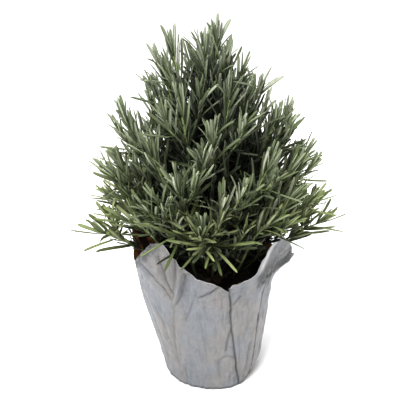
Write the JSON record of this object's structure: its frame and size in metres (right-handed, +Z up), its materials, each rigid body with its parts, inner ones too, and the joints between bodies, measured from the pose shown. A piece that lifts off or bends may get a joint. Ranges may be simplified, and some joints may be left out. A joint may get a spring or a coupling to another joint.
{
  "type": "potted lavender",
  "caption": "Bushy potted lavender, not in flower: narrow grey-green leaves on square stems, rooted in a nursery pot of soil inside a pleated grey paper wrap with standing corners.",
  "frame": {"origin": "centre of the wrap's flat base, on the surface that it stands on", "axes": "+Z up along the pot, -Y to the front, where the wrap's pleats meet, +X to the right"},
  "size_m": [0.2328, 0.2159, 0.3312],
  "materials": {
    "wrap_paper": "zinc-look coated paper, grey outside with soft blotches, rust brown inside",
    "pot_plastic": "thin black polypropylene, fine satin",
    "soil": "damp peat and bark, crumbly and matt",
    "bark": "grey brown bark, finely split, matt",
    "silver_leaf": "narrow leaves under a fine grey down, soft and matt",
    "green_leaf": "younger, greener leaves with less down, soft and matt"
  },
  "bodies": {
    "root": {"pot_wrap": "wrap_paper", "nursery_pot": "pot_plastic", "potting_soil": "soil", "woody_crown": "bark", "stem_01": "green_leaf", "stem_02": "green_leaf", "stem_03": "green_leaf", "stem_04": "green_leaf", "stem_05": "green_leaf", "stem_06": "green_leaf", "stem_07": "green_leaf", "stem_08": "green_leaf", "stem_09": "green_leaf", "stem_10": "green_leaf", "stem_11": "green_leaf", "stem_12": "green_leaf", "stem_13": "green_leaf", "stem_14": "green_leaf", "stem_15": "green_leaf", "stem_16": "green_leaf", "stem_17": "green_leaf", "stem_18": "silver_leaf", "stem_19": "silver_leaf", "stem_20": "silver_leaf", "stem_21": "silver_leaf", "stem_22": "silver_leaf", "stem_23": "silver_leaf", "stem_24": "silver_leaf", "stem_25": "silver_leaf", "stem_26": "silver_leaf", "stem_27": "silver_leaf", "stem_28": "silver_leaf", "stem_29": "silver_leaf", "stem_30": "silver_leaf", "stem_31": "silver_leaf", "stem_32": "silver_leaf", "stem_33": "silver_leaf", "stem_34": "silver_leaf", "stem_35": "silver_leaf", "stem_36": "silver_leaf", "stem_37": "silver_leaf", "stem_38": "silver_leaf", "stem_39": "silver_leaf", "stem_40": "silver_leaf", "stem_41": "silver_leaf", "stem_42": "silver_leaf", "stem_43": "silver_leaf", "stem_44": "silver_leaf", "stem_45": "silver_leaf", "stem_46": "silver_leaf", "stem_47": "silver_leaf", "stem_48": "silver_leaf", "stem_49": "silver_leaf", "stem_50": "silver_leaf"}
  },
  "joints": []
}
